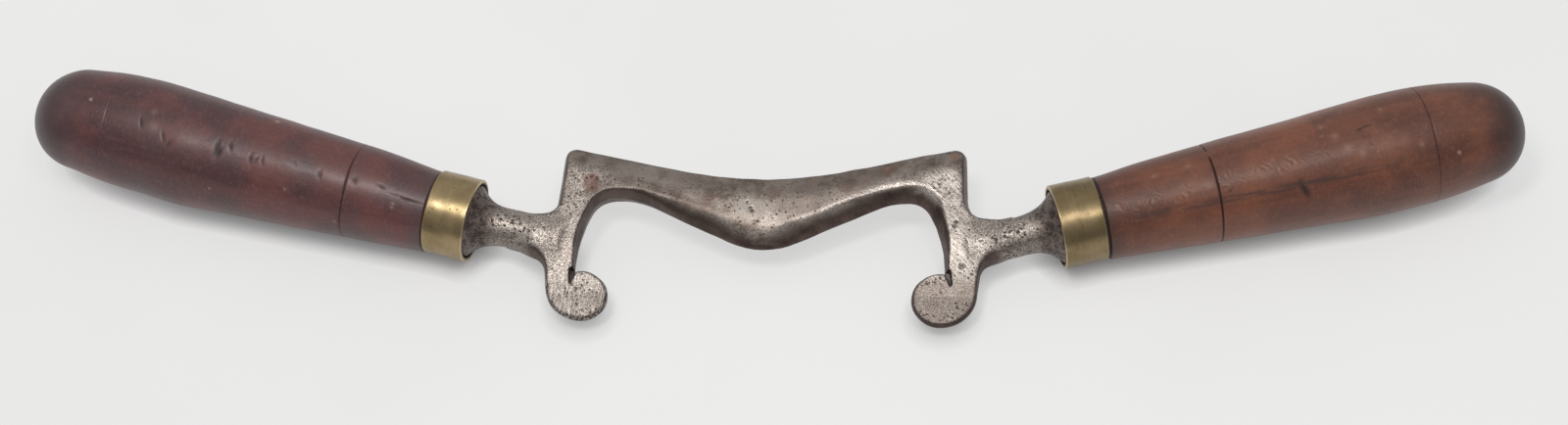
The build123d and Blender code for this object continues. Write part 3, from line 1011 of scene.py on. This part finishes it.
def steel():
    """Old forged steel: patina, wear, stains, black pits and the scratches of a file, with some painted
    highlight, reflection and shade.
    """
    n = new_look("aged_forged_steel")
    m = steel_places(n)
    colour, rust = steel_stains(n, m, steel_wear(n, m, steel_patina(n, m)))
    holes = steel_holes(n, m)
    colour = n.mix(holes, colour, (34, 28, 27))

    filed = n.noise(n.stretched(m.tool, (3.4, 0.22, 1.0), (0, 0, radians(8))), 1.0, 3.0, 0.6)
    on_left_scroll = n.times(n.step(m.u, -40.0, -46.0), n.step(m.v, -30.0, -34.0))
    colour = n.over(colour, (226, 217, 210), on_left_scroll, n.step(filed, 0.48, 0.66), 0.7)
    scratched = n.noise(n.stretched(m.tool, (3.0, 0.16, 1.0), (0, 0, radians(-42))), 1.0, 2.0, 0.6)
    on_right_arm = n.times(n.step(m.u, 44.0, 50.0), n.step(m.v, 4.0, 0.0), m.flat,
                           n.step(m.out, -19.0, -26.0), n.step(m.v, -33.0, -28.0))
    colour = n.over(colour, (232, 222, 214), on_right_arm, n.step(scratched, 0.42, 0.64), 0.6)

    damaged = n.most(rust, holes)
    rough = n.minus(n.plus(0.32, n.times(m.grains, 0.22)), n.times(m.shine, 0.12))
    rough = n.plus(rough, n.times(damaged, 0.3))
    height = n.plus(n.times(m.grains, 0.8), n.times(m.specks, 0.35))
    height = n.plus(height, n.times(m.shine, n.noise(m.tool, 0.9, 3.0, 0.7), 1.6))
    smoother = n.less(n.times(n.most(m.wall, n.times(m.bevel, 0.4)), 0.8))
    height = n.times(height, smoother, n.plus(0.45, n.times(m.arm, 0.45)))
    height = n.minus(height, n.times(holes, 0.9))
    height = n.plus(height, n.times(on_left_scroll, filed, 1.4), n.times(on_right_arm, scratched, 0.4))
    metal = n.minus(0.86, n.times(damaged, 0.7))
    return n.finish(Base_Color=colour, Metallic=metal, Roughness=rough, Normal=n.bump(height, 0.00011))


def brass(name, length, painted_light_level, shift):
    """Aged brass: dull ochre-brown, darker blooms, paler worn rims, a bore painted near black."""
    n = new_look(name)
    local = n.vector("local")
    distance, off, up = n.parts(local)
    radius = n.math("SQRT", n.plus(n.times(off, off), n.times(up, up)))
    bore = n.step(radius, FERRULE_RADIUS - 0.55, FERRULE_RADIUS - 1.0)
    moved = n.moved(local, (shift, 0.0, 0.0))
    bloom = n.noise(moved, 0.14, 4.0, 0.6)
    mottle = n.noise(moved, 0.6, 4.0, 0.62)
    lines = n.noise(n.stretched(moved, (4.2, 0.12, 0.12)), 1.0, 2.0)
    colour = n.mix(n.step(bloom, 0.34, 0.66), (140, 123, 91), (158, 139, 106))
    # the painted light level scales the same brass; the right ferrule's lower level is painted shade for the
    # dimmer light on it
    colour = n.mix(1.0, colour, (painted_light_level, painted_light_level, painted_light_level, 1.0), "MULTIPLY")
    colour = n.over(colour, (112, 96, 70), n.step(mottle, 0.46, 0.74), 0.25)
    colour = n.over(colour, (184, 163, 128), n.step(lines, 0.5, 0.7), 0.15)
    rims = n.most(n.step(distance, length - 0.35, length - 0.1), n.step(distance, 0.42, 0.2))
    colour = n.over(colour, (202, 182, 150), rims, 0.6)
    dark = n.times(n.step(n.cells(moved, 0.42), 0.13, 0.05), 0.7)
    colour = n.mix(dark, colour, (62, 50, 34))
    colour = n.over(colour, n.mix(mottle, (30, 24, 20), (88, 70, 48)), bore, 0.9)
    rough = n.plus(0.24, n.times(mottle, 0.16), n.times(bore, 0.3))
    height = n.minus(n.plus(n.times(lines, 0.5), n.times(mottle, 0.5)), dark)
    return n.finish(Base_Color=colour, Metallic=0.96, Roughness=rough, Normal=n.bump(height, 0.00003))


def wood(name, deep, body, warm, sheen, butt, scuff, gloss, shift, shade_streak=None):
    """Handled hardwood: long grain, pores, darker ends, grime in its marks, painted shade in the gap at the
    ferrule and in the chatter troughs, a painted highlight on the chatter crests, a worn satin finish.

    Shade streak is (degrees round the grip, half width in degrees, colour) of a painted shade streak along
    it, the shade under a scraped step that the grip's shape lacks.
    """
    n = new_look(name)
    local = n.vector("local")
    moved = n.moved(local, (shift, shift * 0.7, 0.0))
    dark, pale, turn, end = (n.value(name) for name in ("dark", "pale", "turn", "end"))
    distance = n.minus(n.parts(local)[0], GRIP_START)
    figure = n.noise(n.stretched(moved, (0.018, 0.16, 0.16)), 1.0, 4.0, 0.6, 0.6)
    fibre = n.noise(n.stretched(moved, (0.10, 1.1, 1.1)), 1.0, 5.0, 0.65, 0.2)
    pores = n.noise(n.stretched(moved, (0.22, 2.6, 2.6)), 1.0, 3.0, 0.6)
    clouds = n.noise(moved, 0.05, 3.0, 0.55)
    mottle = n.noise(moved, 0.5, 4.0, 0.65)
    weave = n.noise(n.stretched(moved, (1.5, 0.75, 0.75)), 1.0, 3.0, 0.7)
    smoky = n.noise(moved, 0.085, 4.0, 0.62, 0.4)
    colour = n.mix(n.step(figure, 0.36, 0.64, 0.25, 0.75), deep, body)
    to_butt = n.plus(n.minus(end, distance), n.times(mottle, 6.0))
    to_front = n.plus(distance, n.times(mottle, 4.0))
    for top, value, low, high, share in (
        (warm, clouds, 0.42, 0.66, 0.6), (deep, fibre, 0.42, 0.66, 0.175), (butt, pores, 0.60, 0.74, 0.15),
        (sheen, mottle, 0.55, 0.75, 0.22), (sheen, weave, 0.50, 0.68, 0.20), (deep, weave, 0.46, 0.30, 0.22),
        (butt, smoky, 0.54, 0.70, 0.35), (butt, to_butt, 24.0, 7.0, 0.85), (butt, to_front, 8.0, 1.5, 0.55),
    ):
        colour = n.over(colour, top, n.step(value, low, high), share)
    # painted shade streak along the grip
    if shade_streak:
        at, width, black = shade_streak
        band = n.plus(n.times(turn, 180 / pi), n.times(n.minus(figure, 0.5), 16.0))
        band = n.step(n.math("ABSOLUTE", n.minus(band, at)), width, width * 0.3)
        along = n.times(n.step(distance, 4.0, 16.0), n.step(distance, 92.0, 64.0))
        colour = n.over(colour, black, band, n.step(fibre, 0.34, 0.56), along, 0.66)
    # pale: scuffs, and the painted highlight on the chatter crests
    colour = n.mix(pale, colour, scuff)
    # dark: grime in the scores and bruises, painted shade in the gap at the ferrule and in the chatter
    # troughs
    colour = n.over(colour, (26, 18, 17), n.step(dark, 0.12, 0.75), 0.92)
    rough = n.plus(0.34, n.times(mottle, 0.2), n.times(n.most(dark, pale), 0.25))
    height = n.plus(n.times(fibre, 0.5), n.times(mottle, 0.35))
    height = n.minus(height, n.times(n.step(pores, 0.6, 0.75), 0.5))
    return n.finish(Base_Color=colour, Roughness=rough, Specular_IOR_Level=gloss, Coat_Weight=0.12,
                    Coat_Roughness=0.22, Normal=n.bump(height, 0.00007))


def floor_material():
    """Plain pale table, faintly lit from within so that shadows on it stay soft."""
    n = new_look("pale_bench")
    clouds = n.noise(n.add("ShaderNodeTexCoord").outputs["Object"], 7.0, 3.0)
    colour = n.mix(n.step(clouds, 0.35, 0.65), (147, 147, 147), (152, 152, 152))
    openness = n.add("ShaderNodeAmbientOcclusion", {"Distance": 7 * MM}, samples=8).outputs["AO"]
    return n.finish(Base_Color=colour, Roughness=0.75, Specular_IOR_Level=0.1,
                    Emission_Color=(1.0, 1.0, 1.0, 1.0), Emission_Strength=n.times(openness, FLOOR_GLOW))


# ---- Pieces

# Bruises: (distance, degrees round from the top to the far side, half length, half width, depth, tilt).
LEFT_BRUISES = [
    (95.8, -12, 1.6, 0.6, 0.10, 10), (85.8, -6, 2.6, 0.5, 0.26, 20), (78.2, -15, 2.4, 0.5, 0.22, 25),
    (76.0, -21, 2.0, 0.6, 0.18, -20), (62.0, -13, 3.8, 0.8, 0.34, 4), (61.0, -16, 2.4, 0.8, 0.26, -14),
    (58.3, -6, 2.2, 0.6, 0.24, 15), (51.6, -15, 2.4, 0.6, 0.24, 10), (50.0, -14, 2.6, 0.45, 0.22, -25),
    (48.2, -13, 2.2, 0.5, 0.22, 12), (31.0, -12, 2.2, 0.7, 0.20, 10), (20.8, -7, 2.2, 1.0, 0.17, 5),
    (12.8, -6, 1.9, 0.7, 0.17, 70), (4.6, -14, 6.0, 0.34, 0.36, 86), (64.0, 9, 3.0, 2.0, 0.07, 0),
    (39.0, -6, 1.6, 0.5, 0.10, 40),
]
RIGHT_BRUISES = [
    (77.0, 10.5, 3.6, 0.36, 0.30, 88), (75.0, 8.0, 2.0, 0.35, 0.22, 74), (56.2, -40, 5.6, 1.9, 0.17, -24),
    (55.5, -30, 2.6, 1.4, 0.12, 60), (104.0, -8, 1.2, 0.4, 0.06, 0), (35.6, -24, 1.6, 0.8, 0.14, 60),
    (24.0, -34, 1.2, 0.6, 0.10, 80), (57.0, 14, 1.3, 0.8, 0.08, 20), (44.0, 20, 0.9, 0.5, 0.08, 20),
]
# Pale scuffs: (distance, degrees round, size, strength).
LEFT_SCUFFS = [
    (102.8, 5, 0.36, 0.9), (49.5, 45, 0.6, 0.6), (62.2, -57, 0.3, 0.5), (40.0, -38, 0.4, 0.3),
    (83.2, 7, 0.8, 0.14), (81.8, -8, 1.3, 0.12), (24.6, -66, 0.3, 0.5), (7.4, -13, 0.4, 0.25),
    (8.4, -24, 0.5, 0.35), (8.5, -29, 0.45, 0.3),
]
RIGHT_SCUFFS = [
    (101.2, -36, 0.45, 0.85), (65.2, 23, 0.8, 0.26), (68.0, 8, 1.0, 0.24), (64.5, 12, 0.5, 0.22),
    (70.5, -8, 1.0, 0.26), (74.0, -16, 0.9, 0.24), (26.0, 18, 0.9, 0.22), (16.0, 16, 0.8, 0.2),
    (30.0, -12, 0.8, 0.22), (49.0, -2, 0.6, 0.2), (83.0, 26, 0.6, 0.3), (91.0, -20, 0.7, 0.25),
]
# Scored rings: (distance, depth, turn of the deepest part, share of depth opposite, gaps as (turn, width)).
LEFT_SCORES = [(23.3, 0.9, -0.45, 0.35, []), (97.0, 0.22, -0.3, 0.3, [])]
RIGHT_SCORES = [(32.4, 1.25, -0.3, 0.7, [(0.51, 0.10)]), (95.1, 0.7, -0.2, 0.6, [])]
RIGHT_CHATTER = (-12, 10)  # degrees round, width in degrees

# the right ferrule's lower painted light level is painted shade, standing for the dimmer light on it
FERRULES = (  # side, name, node, seed of its dings, tone, shift of its stains
    (-1, "left_ferrule_brass", "left_ferrule", 31, 1.06, 93.0),
    (1, "right_ferrule_brass", "right_ferrule", 37, 0.8, 111.0),
)

forging().data.materials.append(steel())
for side, name, node, seed, painted_light_level, shift in FERRULES:
    look = brass("aged_" + name, FERRULE_LENGTHS[side], painted_light_level, shift)
    ferrule(name, side, node, seed).data.materials.append(look)

left = grip("left_grip_wood", -1, "left_grip", length=122.8, shoulder=-0.7, neck=0.9,
            bend=0.0048, scores=LEFT_SCORES, bruises=LEFT_BRUISES, scuffs=LEFT_SCUFFS, seed=51)
left.data.materials.append(wood(
    "dark_red_hardwood", deep=(60, 33, 38), body=(88, 47, 47), warm=(112, 60, 54),
    sheen=(120, 98, 98), butt=(68, 53, 55), scuff=(196, 178, 158), gloss=0.56, shift=5.0,
))
right = grip("right_grip_wood", 1, "right_grip", length=125.2, shoulder=0.2, neck=0.8,
             bend=0.0015, scores=RIGHT_SCORES, bruises=RIGHT_BRUISES, scuffs=RIGHT_SCUFFS, seed=67,
             chatter=RIGHT_CHATTER)
right.data.materials.append(wood(
    "warm_red_hardwood", deep=(80, 45, 35), body=(114, 66, 48), warm=(132, 78, 54),
    sheen=(142, 104, 86), butt=(46, 36, 37), scuff=(176, 146, 126), gloss=0.42, shift=90.0,
    shade_streak=(-32, 6.0, (56, 42, 42)),
))

# ---- Floor, light and camera

corners = [(x * FLOOR_SIZE, y * FLOOR_SIZE, 0.0) for x, y in ((-1, -1), (1, -1), (1, 1), (-1, 1))]
floor_mesh = bpy.data.meshes.new("bench")
floor_mesh.from_pydata(corners, [], [(0, 1, 2, 3)])
floor = bpy.data.objects.new("bench", floor_mesh)
bpy.context.scene.collection.objects.link(floor)
floor_mesh.materials.append(floor_material())


def soft_light(name, place, size, watts):
    """A slightly warm rectangular light, aimed at the middle of the bench."""
    light = bpy.data.lights.new(name, "AREA")
    light.shape = "RECTANGLE"
    light.size, light.size_y = size
    light.energy = watts
    light.color = (1.0, 0.985, 0.965)
    holder = bpy.data.objects.new(name, light)
    holder.location = place
    holder.rotation_euler = (-Vector(place)).to_track_quat("-Z", "Y").to_euler()
    bpy.context.scene.collection.objects.link(holder)


def studio_world():
    """Soft sky for the light, dimmer low down on the near side, and a plain pale backdrop for the camera."""
    world = bpy.data.worlds.new("studio")
    n = Nodes(world)
    facing = n.add("ShaderNodeTexCoord").outputs["Generated"]
    dot = n.add("ShaderNodeVectorMath", {0: facing, 1: (0.0, 0.35, 0.94)}, operation="DOT_PRODUCT")
    height = dot.outputs["Value"]
    levels = {"Value": height, "From Min": -0.35, "From Max": 0.95, "To Min": 0.16, "To Max": 0.68}
    strength = n.add("ShaderNodeMapRange", levels).outputs["Result"]
    sky = n.add("ShaderNodeBackground", {"Color": (1.0, 0.99, 0.975, 1.0), "Strength": strength})
    backdrop = n.add("ShaderNodeBackground", {"Color": (226, 225, 223), "Strength": 1.0})
    to_camera = n.add("ShaderNodeLightPath").outputs["Is Camera Ray"]
    blend = n.add("ShaderNodeMixShader", {0: to_camera, 1: sky.outputs[0], 2: backdrop.outputs[0]})
    n.plug(blend.outputs[0], n.tree.nodes["World Output"].inputs["Surface"])
    return world


def add_camera():
    """The camera, aimed at a place in the tool's plane from an angle over it."""
    e, a, roll = CAMERA_ELEVATION, CAMERA_AZIMUTH, CAMERA_ROLL
    back = Vector((sin(a) * cos(e), -cos(a) * cos(e), sin(e)))
    level = Vector((cos(a), sin(a), 0.0))
    upright = back.cross(level)
    across = cos(roll) * level + sin(roll) * upright
    upward = -sin(roll) * level + cos(roll) * upright
    axes_in_row = np.array((across, upward, back)) @ TOOL_AXES
    place = to_row(np.array(CAMERA_AIM) + np.array(back) * CAMERA_DISTANCE)
    data = bpy.data.cameras.new("camera")
    data.sensor_width = 36.0
    data.lens = 67.5
    data.clip_start = 0.01
    camera = bpy.data.objects.new("camera", data)
    camera.matrix_world = Matrix.Translation(place) @ Matrix(axes_in_row.T.tolist()).to_4x4()
    bpy.context.scene.collection.objects.link(camera)
    return camera


soft_light("overhead_left", (-0.22, -0.22, 1.1), (0.2, 0.35), 3.75)
soft_light("overhead_right", (0.26, -0.28, 1.1), (0.26, 0.3), 1.55)
bpy.context.scene.world = studio_world()
bpy.context.scene.camera = add_camera()
bpy.context.scene.view_settings.view_transform = "Standard"
